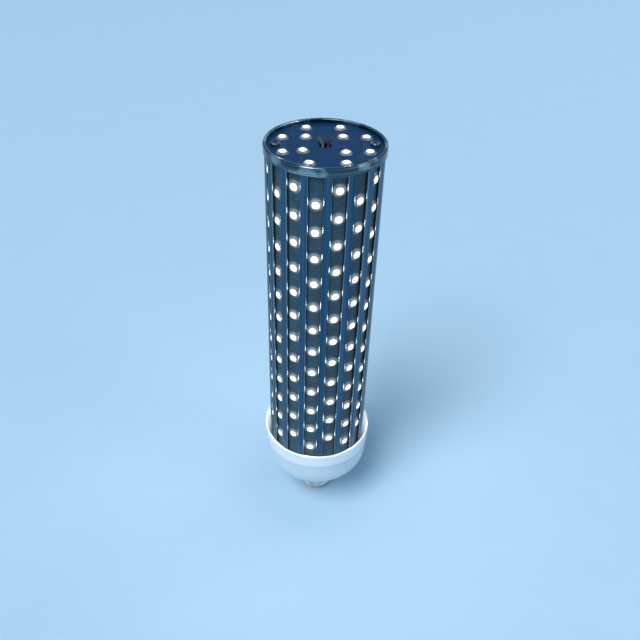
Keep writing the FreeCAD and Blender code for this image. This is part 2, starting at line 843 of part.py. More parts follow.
def on_circle(circle, angle):
    return (f"{circle} * cos({angle})", f"{circle} * sin({angle})")


def make_leads():
    # live wire to the rivet of the centre contact, neutral wire out to the shell under the bowl's plug
    wires("live", "live_lead", "lead_radius", [[
        ("lead_across", "cap_lead_across", "choke_foot - lead_clearance"),
        ("lead_across", "cap_lead_across", "bowl_floor"),
        ("0", "0", "cap_lead_bend"),
        ("0", "0", "rivet_top"),
    ]])
    wires("neutral", "neutral_lead", "lead_radius", [[
        ("-(lead_across)", "-cap_lead_across", "choke_foot - lead_clearance"),
        ("-(lead_across)", "-cap_lead_across", "bowl_floor"),
        ("-(cap_lead_wall)", "0", "cap_lead_bend"),
        ("-(cap_lead_wall)", "0", "cap_lead_exit"),
        ("-(shell_bore - lead_clearance)", "0", "cap_lead_exit"),
    ]])
    # wires from the driver's back up to the link ring's underside, one on each side
    routes = []
    for side, _ in SIDES:
        start = ("-(lead_across)", f"{side} * ring_lead_across")
        landing = on_circle("ring_lead_circle", f"180 - {side} * ring_lead_angle")
        routes.append([
            start + ("link_foot - ring_lead_dip / 2",),
            start + ("link_foot - 2 * ring_lead_dip",),
            landing + ("link_foot - ring_lead_dip",),
            landing + ("link_foot",),
        ])
    wires("to_ring", "ring_leads", "lead_radius", routes)
    # wires up the tube and out of the top board's hole, where they lie back on the board as a V
    for colour, side in (("white", -1), ("red", 1)):
        start = ("top_lead_start", f"{side} * top_lead_across")
        hole = on_circle("top_lead_circle", f"{colour}_rise_angle")
        wires(f"{colour}_wire", f"top_lead_{colour}", "top_lead_radius", [[
            start + ("output_foot + output_length",),
            start + ("liner_top + top_lead_slack",),
            hole + ("tube_top - top_lead_slack",),
            hole + ("top_lead_lie",),
            (f"{colour}_end_across", f"{colour}_end_along", "top_lead_lie"),
        ]])


make_centre_contact()
make_cap_insulator()
make_cap_shell()
make_base_bowl()
make_heat_sink()
make_columns()
make_end_ring()
make_top_board()
make_top_leds()
make_screws("top_screws", "board_top", "board_thickness + flange_thickness + screw_grip", 1)
make_screws("bowl_screws", "post_seat", "post_grip + link_thickness + screw_grip", -1)
make_link_ring()
make_liner()
make_driver()
make_transformer()
make_leads()
doc.recompute()

failed = [thing.Name for thing in doc.Objects if "Invalid" in thing.State or "Error" in thing.State]
if failed:
    raise RuntimeError("not built: " + ", ".join(failed))
for label, thing in pieces.items():
    if thing.Shape.isNull() or not thing.Shape.isValid() or not thing.Shape.Solids:
        raise RuntimeError("no sound solid: " + label)

os.makedirs("parts", exist_ok=True)
for label, thing in pieces.items():
    thing.Shape.exportStep("parts/" + label + ".step")
    print(label, len(thing.Shape.Solids), round(thing.Shape.Volume, 1))
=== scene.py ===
import math

import bmesh
import bpy
from mathutils import Matrix, Quaternion, Vector


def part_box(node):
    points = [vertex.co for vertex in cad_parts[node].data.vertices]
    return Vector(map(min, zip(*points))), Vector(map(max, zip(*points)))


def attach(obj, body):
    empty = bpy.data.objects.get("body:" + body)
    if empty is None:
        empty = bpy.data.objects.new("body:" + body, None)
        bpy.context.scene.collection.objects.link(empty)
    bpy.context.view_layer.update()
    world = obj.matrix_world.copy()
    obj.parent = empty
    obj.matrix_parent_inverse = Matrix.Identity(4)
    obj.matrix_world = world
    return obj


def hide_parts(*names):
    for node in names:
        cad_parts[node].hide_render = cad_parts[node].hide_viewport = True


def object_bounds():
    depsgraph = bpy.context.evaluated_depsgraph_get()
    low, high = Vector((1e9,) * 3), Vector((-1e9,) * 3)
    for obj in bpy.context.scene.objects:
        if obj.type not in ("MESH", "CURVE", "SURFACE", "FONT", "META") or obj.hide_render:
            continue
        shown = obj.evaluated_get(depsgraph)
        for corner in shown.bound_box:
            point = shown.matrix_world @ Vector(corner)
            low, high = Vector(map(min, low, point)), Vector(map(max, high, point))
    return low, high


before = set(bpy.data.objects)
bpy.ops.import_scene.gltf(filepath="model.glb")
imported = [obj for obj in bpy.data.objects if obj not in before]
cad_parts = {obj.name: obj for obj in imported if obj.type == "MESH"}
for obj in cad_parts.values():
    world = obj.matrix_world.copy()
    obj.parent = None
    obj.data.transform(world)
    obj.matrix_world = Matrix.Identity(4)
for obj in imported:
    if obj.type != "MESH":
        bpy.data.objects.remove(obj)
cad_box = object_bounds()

# Looks of a corn bulb: lit light strips in the slots of an aluminium tube, over a white base bowl
# and a screw cap. Sizes are in millimetres, and shapes are made in metres, in the part's own frame.
MM = 0.001
UP = Vector((0, 0, 1))
FULL_TURN = 2 * math.pi
BULB_MIDDLE = (cad_box[0] + cad_box[1]) / 2
ROW_NODES = sorted(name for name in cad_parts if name.startswith("led_row_"))
STRIP_NODES = sorted(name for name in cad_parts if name.startswith("strip_board_"))
COLUMN_COUNT = len(ROW_NODES)

# Camera of the photograph
CAMERA_PLACE = (-24.74, -373.23, 448.27)
CAMERA_AIM = (0.02, 0.74, 161.67)
CAMERA_ROLL = 1.775
FOCAL_LENGTH = 39.46
SENSOR_WIDTH = 36.0
CLIP_START = 10.0

# Copper under the solder mask: fields on the strips, parted by gaps, and rings on the top board
POUR_HALF = 3.7
POUR_GAP = 0.3
POUR_EDGE = 0.08
TRACE_RINGS = (9.2, 20.8, 31.6)
TRACE_GAP = (0.18, 0.28)
BOARD_GRAIN = 4.0
BOARD_RELIEF = 0.02
GRAIN_RELIEF = 0.15

# Painted halo: glow painted on a board round each light, by the distance from the light's middle
HALO_FROM = 2.3
HALO_TO = 5.0
TOP_HALO_TO = 4.4
HALO_FALL = 1.5
FAR_AWAY = 100.0

# Bright bevels of the ribs, by the distance from a strip's middle line
BEVEL_FROM = 3.95
BEVEL_TO = 4.85
BEVEL_BLUR = 0.1
BEVEL_POLISH = 0.5

# Bowl: height of the crease under its rim band, where painted shade below meets the lighter band
# above; radius of its hollow; and the heights where glow is painted inside it
BOWL_CREASE = 58.5
CREASE_BLUR = 0.15
BOWL_INSIDE = 36.85
INSIDE_BLUR = 0.2
BOWL_PAINTED_GLOW_HEIGHTS = (44.0, 64.0)
BAND_GLOW = 0.05

# One light: a package with a round window, three legs on each of two sides
LIGHT_REACH = 5.5
LIGHT_HEIGHT = 1.6
LIGHT_SEGMENTS = 32
CASE_HALF_ACROSS = 2.5
CASE_HALF_ALONG = 2.25
CASE_LIFT = 0.05
CASE_TOP = 1.15
CASE_CHAMFER = 0.12
CASE_CORNER = 7
WINDOW_RADIUS = 2.0
WINDOW_LIP = 0.12
WINDOW_SINK = 0.08
WINDOW_FLOOR = CASE_TOP - WINDOW_SINK
WINDOW_RINGS = 5
LEG_SPOTS = (-1.6, 0.0, 1.6)
LEG_WIDTH = 0.8
LEG_PROFILE = ((2.1, 0.04), (2.8, 0.04), (2.52, 0.2), (2.44, 0.52), (2.1, 0.52))
PAD_WIDTH = 1.0
PAD_PROFILE = ((1.9, 0.0), (2.9, 0.0), (2.9, 0.05), (1.9, 0.05))

# How a light shines: 1 at the window's middle, less at its edge, least at the package's corners; the
# package's glow round its window is partly its plastic's own glow and partly a painted bloom
WINDOW_GLOW_FALL = 0.4
WINDOW_EDGE_GLOW = 0.9
CORNER_GLOW = 0.3
CORNER_REACH = 3.0
GLOW_FALL = 0.7
GLOW_POWER = 2.0
CREAM_SPAN = (0.35, 0.75)

# Finishes of a light, by their number in its mesh
CASE_FINISH = 0
WINDOW_FINISH = 1
LEG_FINISH = 2

# Solder joints of the top board's wires
TOP_WIRES = ("top_lead_white", "top_lead_red")
TOP_WIRE_WIDTH = 1.95
TIP_LENGTH = 0.9
TIP_BACK = 0.2
TIP_RADIUS = 0.42
TIP_SINK = 0.35
TIP_SHARES = (0.0, 0.35, 0.7, 1.0)
TIP_SEGMENTS = 12
PAD_RADIUS = 1.05
PAD_HEIGHT = 0.06
BEAD_RADIUS = 0.85
BEAD_HEIGHT = 0.6
BEAD_TURNS = (0.3, 0.7, 1.1, 1.4)
BEAD_SEGMENTS = 20

# Rib heads of the tube
TUBE_WELD = 0.001
FLAT_ANGLE = 1
UPRIGHT_SLACK = 0.01
HEAD_FOOT = 33.0
HEAD_ANGLE = 20
HEAD_ROUND = 0.45
HEAD_STEPS = 4

# Screw cap: its rolled thread, the collar above it and the crimps that hold it on
CAP_SEGMENTS = 240
CAP_STEP = 0.28
CAP_LEAD_IN = 2.5
CAP_LIP = 1.0
CAP_SLACK = 0.1
CAP_WELD = 0.0001
THREAD_PITCH = 3.629
THREAD_DEPTH = 1.0
THREAD_STOP = 0.4
THREAD_FADE = 2.2
COLLAR_START = 0.5
COLLAR_RISE = 0.7
CRIMP_COUNT = 8
CRIMP_DEPTH = 0.45
CRIMP_RADIUS = 0.95
CRIMP_DROP = 1.4
CRIMP_FALL = 3

# Edges turned by more than this stay sharp, in degrees
SHARP_ANGLE = 35
JOINT_SHARP_ANGLE = 40
CAP_SHARP_ANGLE = 50

# Spans of noise that a finish spreads over its tones
GRAIN_SPAN = (0.3, 0.7)
BAND_SPAN = (0.35, 0.65)
LINE_SPAN = (0.4, 0.62)
CLOUD_SPAN = (0.35, 0.7)
RING_PAINTED_REFLECTION_SPAN = (0.5, 0.59)

# Shared effects: smudges and wipes, worn edges with a painted highlight, clouds against grain, swing
# of the roughness
SMUDGE_SPAN = (0.48, 0.68)
WIPE_SPAN = (0.52, 0.7)
WIPE_STRETCH = (0.35, 0.35, 2.2)
WIPE_FINENESS = 4.0
EDGE_SPAN = (0.01, 0.12)
RUB_SPAN = (0.3, 0.6)
RUB_SHARE = (0.3, 1.0)
CLOUD_SCALE = 0.05
ROUGH_SWING = 0.2

# Ends of a mask that rises over its span, and of one that falls
WHOLE = (0.0, 1.0)
FALLING = (1.0, 0.0)

# Main finishes: roughness from smoothest to dullest, wear of the edges with their painted highlight,
# and clouds in the plastic
TUBE_ROUGHNESS = (0.26, 0.42)
RING_ROUGHNESS = (0.12, 0.22)
STRIP_ROUGHNESS = (0.34, 0.5)
TOP_ROUGHNESS = (0.3, 0.45)
BOWL_ROUGHNESS = (0.24, 0.34)
CAP_ROUGHNESS = (0.14, 0.26)
TUBE_EDGE_WEAR_AND_HIGHLIGHT = 0.6
RING_EDGE_WEAR_AND_HIGHLIGHT = 0.4
BOWL_CLOUDS = (0.0, 0.12)

# Colours, linear
SLATE = (0.022, 0.060, 0.088, 1)
SLATE_LIGHT = (0.036, 0.080, 0.117, 1)
SLATE_DARK = (0.014, 0.041, 0.061, 1)
NAVY = (0.001, 0.028, 0.094, 1)
NAVY_LIGHT = (0.003, 0.039, 0.121, 1)
NAVY_DARK = (0.001, 0.017, 0.065, 1)
# Tube: dark blue tones, a painted reflection of blue surroundings on the aluminium
TUBE_DARK = (0.018, 0.068, 0.128, 1)
TUBE_LIGHT = (0.068, 0.158, 0.250, 1)
BEVEL_BRIGHT = (0.170, 0.215, 0.245, 1)
# Ring: dark and light tones spread as clouds, painted reflections of the surroundings
RING_DARK = (0.030, 0.066, 0.090, 1)
RING_LIGHT = (0.310, 0.410, 0.440, 1)
RING_WORN_AND_HIGHLIT = (0.520, 0.600, 0.630, 1)
BOWL_WHITE = (0.780, 0.850, 0.900, 1)
BOWL_PAINTED_SHADE = (0.580, 0.690, 0.780, 1)
NICKEL_DARK = (0.420, 0.420, 0.410, 1)
NICKEL_LIGHT = (0.680, 0.675, 0.650, 1)
SOLDER_DARK = (0.220, 0.240, 0.260, 1)
SOLDER_LIGHT = (0.420, 0.440, 0.450, 1)
CASE_DARK = (0.100, 0.130, 0.160, 1)
CASE_LIGHT = (0.140, 0.170, 0.200, 1)
WINDOW_DARK = (0.800, 0.780, 0.680, 1)
WINDOW_LIGHT = (0.850, 0.830, 0.750, 1)
LIGHT_WHITE = (1.000, 0.990, 0.960, 1)
LIGHT_CREAM = (1.000, 0.930, 0.780, 1)
PAINTED_GLOW_WHITE = (0.740, 0.900, 1.000, 1)
UNLIT = (0, 0, 0, 1)
FLOOR_BLUE = (0.460, 0.680, 0.870, 1)
FLOOR_DEEP = (0.4462, 0.6596, 0.8439, 1)

# Plain finishes: darkest and lightest colour, roughness, the shader's own values, and their nodes
PLAIN_GRAIN = 3.0
PLAIN_RELIEF = 0.02
PLAIN_FINISHES = {
    "cap_black": (
        (0.006, 0.006, 0.007, 1), (0.015, 0.015, 0.017, 1), 0.16, {"coat_weight": 0.5},
        ("cap_insulator",),
    ),
    "contact_tin": (
        (0.420, 0.400, 0.340, 1), (0.660, 0.630, 0.550, 1), 0.3, {"metallic": 1.0},
        ("centre_contact",),
    ),
    "screw_dark": (
        (0.045, 0.060, 0.075, 1), (0.130, 0.160, 0.190, 1), 0.3, {"metallic": 1.0},
        ("top_screws", "bowl_screws"),
    ),
    # Painted shade: the white and red wires are darkened far below their own colours, as they lie in
    # shade
    "white_wire_painted_shade": (
        (0.030, 0.043, 0.052, 1), (0.052, 0.068, 0.078, 1), 0.45, {"specular_ior_level": 0.2},
        ("top_lead_white", "neutral_lead"),
    ),
    "red_wire_painted_shade": (
        (0.013, 0.001, 0.003, 1), (0.026, 0.002, 0.005, 1), 0.42, {"specular_ior_level": 0.2},
        ("top_lead_red", "live_lead", "ring_leads"),
    ),
    "board_fibre": (
        (0.360, 0.300, 0.130, 1), (0.500, 0.430, 0.220, 1), 0.5, {},
        ("driver_board", "link_ring"),
    ),
    "milky_film": (
        (0.600, 0.620, 0.580, 1), (0.750, 0.760, 0.720, 1), 0.4, {},
        ("insulating_liner",),
    ),
    "dipped_case": (
        (0.350, 0.050, 0.030, 1), (0.500, 0.080, 0.050, 1), 0.3, {},
        ("film_capacitor",),
    ),
    "shrink_sleeve": (
        (0.010, 0.010, 0.020, 1), (0.030, 0.030, 0.045, 1), 0.3, {},
        ("bulk_capacitor", "output_capacitor"),
    ),
    "moulded_case": (
        (0.015, 0.015, 0.015, 1), (0.040, 0.040, 0.040, 1), 0.5, {},
        ("mains_choke", "rectifier", "fuse", "switching_chip"),
    ),
    "pressed_ferrite": (
        (0.040, 0.040, 0.042, 1), (0.090, 0.090, 0.090, 1), 0.6, {},
        ("transformer_core",),
    ),
    "wound_tape": (
        (0.550, 0.400, 0.050, 1), (0.700, 0.550, 0.100, 1), 0.4, {},
        ("transformer_winding",),
    ),
}

# Studio, with places and sizes in metres; each soft lamp has a name, a place, a size and its watts
FLOOR_RADIUS = 30.0
FLOOR_SEGMENTS = 96
FLOOR_DROP = 0.0002
WORLD_LIGHT = 0.35
WORLD_SHOWN = 0.88
DAYLIGHT_PLACE = (-1.2, -1.4, 2.8)
DAYLIGHT_STRENGTH = 2.25
DAYLIGHT_SOFTNESS = 30
SOFT_LAMPS = (
    ("key", (-1.5, -1.8, 2.2), 0.9, 7),
    ("fill", (2.0, -1.1, 1.5), 0.8, 5),
    ("back", (2.0, 1.2, 2.5), 0.8, 6),
)


# Node helpers
def fit(tree, value, socket):
    """Link a socket to a socket, or set it to a plain value."""
    if isinstance(value, bpy.types.NodeSocket):
        tree.links.new(value, socket)
    else:
        socket.default_value = value


def add_node(tree, kind, inputs=None, **settings):
    """A shader node with its own settings, and inputs by socket name or number."""
    made = tree.nodes.new("ShaderNode" + kind)
    for name, value in settings.items():
        setattr(made, name, value)
    for name, value in (inputs or {}).items():
        fit(tree, value, made.inputs[name])
    return made


def calc(tree, operation, first, second=0.0):
    """A sum with numbers."""
    return add_node(tree, "Math", {0: first, 1: second}, operation=operation).outputs[0]


def vector_calc(tree, operation, first, second=(0, 0, 0)):
    """A sum with vectors; the result is under Vector, or under Value where it is a number."""
    return add_node(tree, "VectorMath", {0: first, 1: second}, operation=operation).outputs


def length_of(tree, place):
    """How long a vector is."""
    return vector_calc(tree, "LENGTH", place)["Value"]


def split(tree, place):
    """The X, Y and Z of a vector."""
    return add_node(tree, "SeparateXYZ", {"Vector": place}).outputs


def joined(tree, **axes):
    """A vector from its X, Y and Z."""
    return add_node(tree, "CombineXYZ", axes).outputs["Vector"]


def spread(tree, value, span, ends=WHOLE):
    """Map a value from a span to two ends, eased towards them and held there."""
    inputs = {"Value": value}
    inputs["From Min"], inputs["From Max"] = span
    inputs["To Min"], inputs["To Max"] = ends
    return add_node(tree, "MapRange", inputs, interpolation_type="SMOOTHSTEP").outputs["Result"]


def mixed(tree, share, first, second):
    """A colour between two colours."""
    inputs = {"Factor": share, "A": first, "B": second}
    return add_node(tree, "Mix", inputs, data_type="RGBA").outputs["Result"]


def noise(tree, place, scale, detail, roughness):
    """Cloudy noise, mostly between 0.3 and 0.7."""
    inputs = {"Vector": place, "Scale": scale, "Detail": detail, "Roughness": roughness}
    return add_node(tree, "TexNoise", inputs).outputs["Fac"]


def part_place(tree):
    """Where a point is in the part's frame, in millimetres."""
    place = add_node(tree, "TexCoord").outputs["Object"]
    return vector_calc(tree, "MULTIPLY", place, (1 / MM, 1 / MM, 1 / MM))["Vector"]


def off_axis(tree, place):
    """The way from the bulb's axis to a place; its length is the radius there."""
    return vector_calc(tree, "MULTIPLY", place, (1, 1, 0))["Vector"]


def new_group(name, inputs, outputs):
    """An empty node group with named sockets; inputs maps names to defaults."""
    group = bpy.data.node_groups.new(name, "ShaderNodeTree")
    for label, default in inputs.items():
        kind = "NodeSocketVector" if isinstance(default, tuple) else "NodeSocketFloat"
        group.interface.new_socket(label, in_out="INPUT", socket_type=kind).default_value = default
    for label in outputs:
        group.interface.new_socket(label, in_out="OUTPUT", socket_type="NodeSocketFloat")
    inlet = group.nodes.new("NodeGroupInput")
    outlet = group.nodes.new("NodeGroupOutput")
    return group, inlet.outputs, outlet.inputs


def use_group(tree, group, **values):
    """Place a group in a material with its own values; returns its outputs."""
    made = tree.nodes.new("ShaderNodeGroup")
    made.node_tree = group
    for name, value in values.items():
        fit(tree, value, made.inputs[name.title()])
    return made.outputs


# Effects that several finishes share
def make_drawn_lines():
    """Fine and broad lines along the way that the metal was drawn through its die."""
    group, given, result = new_group(
        "Drawn Lines", {"Stretch": (3.0, 3.0, 0.02)}, ("Lines", "Bands")
    )
    drawn = vector_calc(group, "MULTIPLY", part_place(group), given["Stretch"])["Vector"]
    fit(group, noise(group, drawn, scale=1.0, detail=4.0, roughness=0.6), result["Lines"])
    fit(group, noise(group, drawn, scale=0.17, detail=2.0, roughness=0.5), result["Bands"])
    return group


def make_turned_lines():
    """Fine and broad lines round the bulb's axis, as a lathe leaves them."""
    group, given, result = new_group("Turned Lines", {"Fineness": 4.0}, ("Lines", "Bands"))
    place = part_place(group)
    outwards = off_axis(group, place)
    way = split(group, vector_calc(group, "NORMALIZE", outwards)["Vector"])
    height = calc(group, "MULTIPLY", split(group, place)["Z"], given["Fineness"])
    depth = calc(group, "MULTIPLY", length_of(group, outwards), given["Fineness"])
    wound = joined(group, X=way["X"], Y=way["Y"], Z=height)
    for label, scale, detail in (("Lines", 1.0, 3.0), ("Bands", 0.25, 2.0)):
        inputs = {"Vector": wound, "W": depth, "Scale": scale, "Detail": detail}
        cut = add_node(group, "TexNoise", inputs, noise_dimensions="4D").outputs["Fac"]
        fit(group, cut, result[label])
    return group


def make_fine_grain():
    """Small grain, and clouds much larger than it."""
    group, given, result = new_group("Fine Grain", {"Scale": 3.0}, ("Grain", "Clouds"))
    place = part_place(group)
    fit(group, noise(group, place, given["Scale"], detail=4.0, roughness=0.6), result["Grain"])
    cloud_scale = calc(group, "MULTIPLY", given["Scale"], CLOUD_SCALE)
    fit(group, noise(group, place, cloud_scale, detail=3.0, roughness=0.5), result["Clouds"])
    return group


def make_handling_marks():
    """Smudges and faint wipes that hands leave on a glossy surface."""
    group, given, result = new_group("Handling Marks", {"Size": 9.0}, ("Smudge", "Wipe"))
    place = part_place(group)
    smudge_scale = calc(group, "DIVIDE", 1.0, given["Size"])
    broad = noise(group, place, smudge_scale, detail=3.0, roughness=0.6)
    fit(group, spread(group, broad, SMUDGE_SPAN), result["Smudge"])
    wiped = vector_calc(group, "MULTIPLY", place, WIPE_STRETCH)["Vector"]
    wipe_scale = calc(group, "DIVIDE", WIPE_FINENESS, given["Size"])
    thin = noise(group, wiped, wipe_scale, detail=4.0, roughness=0.65)
    fit(group, spread(group, thin, WIPE_SPAN), result["Wipe"])
    return group


def make_edge_wear_and_highlight():
    """A mask of the edges within a width, where metal is rubbed bright and a highlight is painted."""
    group, given, result = new_group("Edge Wear And Highlight", {"Width": 0.2}, ("Edge",))
    width = calc(group, "MULTIPLY", given["Width"], MM)
    soft = add_node(group, "Bevel", {"Radius": width}, samples=4).outputs["Normal"]
    flat = add_node(group, "NewGeometry").outputs["Normal"]
    turned = calc(group, "SUBTRACT", 1.0, vector_calc(group, "DOT_PRODUCT", soft, flat)["Value"])
    rubbed = noise(group, part_place(group), scale=1.3, detail=3.0, roughness=0.6)
    share = spread(group, rubbed, RUB_SPAN, RUB_SHARE)
    fit(group, calc(group, "MULTIPLY", spread(group, turned, EDGE_SPAN), share), result["Edge"])
    return group


def make_column_place():
    """Where a point lies on its strip: across the middle line, along from the nearest light, and
    from the nearest line midway between lights."""
    group, given, result = new_group(
        "Column Place",
        {"Count": float(COLUMN_COUNT), "First": 0.0, "Stagger": 0.0, "Pitch": 1.0, "Lights": 1.0},
        ("Across", "Along", "Parting"),
    )
    place = part_place(group)
    apart = split(group, place)
    radius = length_of(group, off_axis(group, place))
    angle = calc(group, "ARCTAN2", apart["Y"], apart["X"])
    step = calc(group, "DIVIDE", FULL_TURN, given["Count"])
    column = calc(group, "DIVIDE", calc(group, "ADD", angle, FULL_TURN), step)
    share = calc(group, "SUBTRACT", calc(group, "FRACT", column), 0.5)
    turn = calc(group, "SINE", calc(group, "MULTIPLY", share, step))
    fit(group, calc(group, "MULTIPLY", turn, radius), result["Across"])
    odd = calc(group, "FLOORED_MODULO", calc(group, "FLOOR", column), 2.0)
    even = calc(group, "SUBTRACT", 1.0, odd)
    foot = calc(group, "ADD", given["First"], calc(group, "MULTIPLY", even, given["Stagger"]))
    steps = calc(group, "DIVIDE", calc(group, "SUBTRACT", apart["Z"], foot), given["Pitch"])
    last = calc(group, "SUBTRACT", given["Lights"], 1.0)
    light = calc(group, "MINIMUM", calc(group, "MAXIMUM", calc(group, "ROUND", steps), 0.0), last)
    away = calc(group, "SUBTRACT", steps, light)
    fit(group, calc(group, "MULTIPLY", away, given["Pitch"]), result["Along"])
    between = calc(group, "ABSOLUTE", calc(group, "SUBTRACT", calc(group, "FRACT", steps), 0.5))
    fit(group, calc(group, "MULTIPLY", between, given["Pitch"]), result["Parting"])
    return group


drawn_lines = make_drawn_lines()
turned_lines = make_turned_lines()
fine_grain = make_fine_grain()
handling_marks = make_handling_marks()
edge_wear_and_highlight = make_edge_wear_and_highlight()
column_place = make_column_place()


# Finishes
def new_finish(name, **constants):
    """A material with one main shader; its plain values are set on the shader's own sockets."""
    finish = bpy.data.materials.new(name)
    finish.use_nodes = True
    shader = finish.node_tree.nodes["Principled BSDF"]
    for label, value in constants.items():
        shader.inputs[label.replace("_", " ").title().replace("Ior", "IOR")].default_value = value
    return finish, finish.node_tree, shader.inputs


def toned(tree, main, main_span, other, other_span, main_share):
    """A tone from 0 to 1: a share of it follows the main marks, and the rest the other ones."""
    main_tone = spread(tree, main, main_span, (0.0, main_share))
    other_tone = spread(tree, other, other_span, (0.0, 1.0 - main_share))
    return calc(tree, "ADD", main_tone, other_tone)


def smudged(tree, roughness, size, share):
    """A roughness that handling has dulled in places."""
    marks = use_group(tree, handling_marks, size=size)
    smudges = calc(tree, "MULTIPLY", marks["Smudge"], share)
    wipes = calc(tree, "MULTIPLY", marks["Wipe"], share / 2)
    return calc(tree, "ADD", roughness, calc(tree, "ADD", smudges, wipes))


def grained(tree, grain, roughness):
    """A roughness that swings about its mean with the grain."""
    ends = (roughness * (1 - ROUGH_SWING), roughness * (1 + ROUGH_SWING))
    return spread(tree, grain["Grain"], GRAIN_SPAN, ends)


def raise_bump(tree, shader, height, distance, strength=1.0):
    """Fine relief: distance is how high a height of 1 stands."""
    inputs = {"Height": height, "Distance": distance * MM, "Strength": strength}
    fit(tree, add_node(tree, "Bump", inputs).outputs["Normal"], shader["Normal"])


def make_tube_metal():
    """Drawn aluminium, dull on the heads of the ribs and bright on the bevels beside the lights; its
    dark blue tones are a painted reflection of blue surroundings, and its edges are worn with a
    painted highlight.
    """
    finish, tree, shader = new_finish("tube_metal", metallic=1.0, anisotropic=0.35)
    drawn = use_group(tree, drawn_lines, stretch=(2.2, 2.2, 0.012))
    edge = use_group(tree, edge_wear_and_highlight, width=0.18)["Edge"]
    side = calc(tree, "ABSOLUTE", use_group(tree, column_place)["Across"])
    inner = spread(tree, side, (BEVEL_FROM, BEVEL_FROM + BEVEL_BLUR))
    outer = spread(tree, side, (BEVEL_TO - BEVEL_BLUR, BEVEL_TO), FALLING)
    bevel = calc(tree, "MULTIPLY", inner, outer)
    tone = toned(tree, drawn["Bands"], BAND_SPAN, drawn["Lines"], LINE_SPAN, main_share=0.6)
    # Painted reflection: the blue of the surroundings is painted into the metal's colour
    colour = mixed(tree, tone, TUBE_DARK, TUBE_LIGHT)
    # Worn edges with a painted highlight: the edges are lightened
    worn_and_highlit = mixed(tree, calc(tree, "MULTIPLY", edge, TUBE_EDGE_WEAR_AND_HIGHLIGHT), colour, RING_LIGHT)
    fit(tree, mixed(tree, bevel, worn_and_highlit, BEVEL_BRIGHT), shader["Base Color"])
    dull = spread(tree, drawn["Lines"], GRAIN_SPAN, TUBE_ROUGHNESS)
    polish = spread(tree, bevel, WHOLE, (1.0, BEVEL_POLISH))
    fit(tree, calc(tree, "MULTIPLY", dull, polish), shader["Roughness"])
    raise_bump(tree, shader, drawn["Lines"], distance=0.012, strength=0.6)
    return finish


def make_ring_metal():
    """Turned aluminium, polished and dulled by handling, with painted reflections as dark and light
    clouds in its colour, bright where its edges are rubbed and a highlight is painted.
    """
    finish, tree, shader = new_finish("ring_metal", metallic=1.0, anisotropic=0.3)
    turned = use_group(tree, turned_lines, fineness=5.0)
    marks = use_group(tree, fine_grain, scale=1.1)
    edge = use_group(tree, edge_wear_and_highlight, width=0.25)["Edge"]
    bands, clouds = turned["Bands"], marks["Clouds"]
    # Painted reflections: clouds of dark and light in the colour stand for the surroundings seen in
    # the ring
    tone = toned(tree, bands, BAND_SPAN, clouds, RING_PAINTED_REFLECTION_SPAN, main_share=0.25)
    colour = mixed(tree, tone, RING_DARK, RING_LIGHT)
    # Worn edges with a painted highlight: the edges are lightened
    worn_and_highlit = mixed(tree, calc(tree, "MULTIPLY", edge, RING_EDGE_WEAR_AND_HIGHLIGHT), colour, RING_WORN_AND_HIGHLIT)
    fit(tree, worn_and_highlit, shader["Base Color"])
    polish = spread(tree, turned["Lines"], GRAIN_SPAN, RING_ROUGHNESS)
    fit(tree, smudged(tree, polish, size=7.0, share=0.12), shader["Roughness"])
    raise_bump(tree, shader, turned["Lines"], distance=0.01, strength=0.5)
    return finish


def paint_mask(tree, shader, fields, colours, roughness, reach, halo_to):
    """Solder mask over raised fields of copper, cloudy on them and dark in the gaps, with a painted
    halo of glow round each light on its board; reach is the distance from the nearest light."""
    gap_colour, field_colour, cloud_colour = colours
    grain = use_group(tree, fine_grain, scale=BOARD_GRAIN)
    colour = mixed(tree, fields, gap_colour, field_colour)
    cloudy = calc(tree, "MULTIPLY", spread(tree, grain["Clouds"], CLOUD_SPAN), fields)
    fit(tree, mixed(tree, cloudy, colour, cloud_colour), shader["Base Color"])
    fit(tree, spread(tree, grain["Grain"], GRAIN_SPAN, roughness), shader["Roughness"])
    # Painted halo: the board glows round each light, standing in for the bloom of the lights
    halo = calc(tree, "POWER", spread(tree, reach, (HALO_FROM, halo_to), FALLING), HALO_FALL)
    fit(tree, mixed(tree, halo, UNLIT, PAINTED_GLOW_WHITE), shader["Emission Color"])
    height = calc(tree, "ADD", fields, calc(tree, "MULTIPLY", grain["Grain"], GRAIN_RELIEF))
    raise_bump(tree, shader, height, BOARD_RELIEF)


def make_strip_mask(high_row, low_row):
    """Slate solder mask of the strips; takes the heights of the lights of two neighbouring columns,
    which say how the copper fields lie."""
    finish, tree, shader = new_finish(
        "strip_mask", specular_ior_level=0.3, coat_weight=0.05, coat_roughness=0.25,
        emission_strength=0.36,
    )
    place = use_group(
        tree, column_place,
        first=low_row[0],
        stagger=high_row[0] - low_row[0],
        pitch=(low_row[-1] - low_row[0]) / (len(low_row) - 1),
        lights=float(len(low_row)),
    )
    side = calc(tree, "ABSOLUTE", place["Across"])
    inside = spread(tree, side, (POUR_HALF, POUR_HALF + POUR_EDGE), FALLING)
    parted = spread(tree, place["Parting"], (POUR_GAP / 2, POUR_GAP / 2 + POUR_EDGE))
    fields = calc(tree, "MULTIPLY", inside, parted)
    reach = length_of(tree, joined(tree, X=place["Across"], Y=place["Along"]))
    colours = (SLATE_DARK, SLATE, SLATE_LIGHT)
    paint_mask(tree, shader, fields, colours, STRIP_ROUGHNESS, reach, HALO_TO)
    return finish


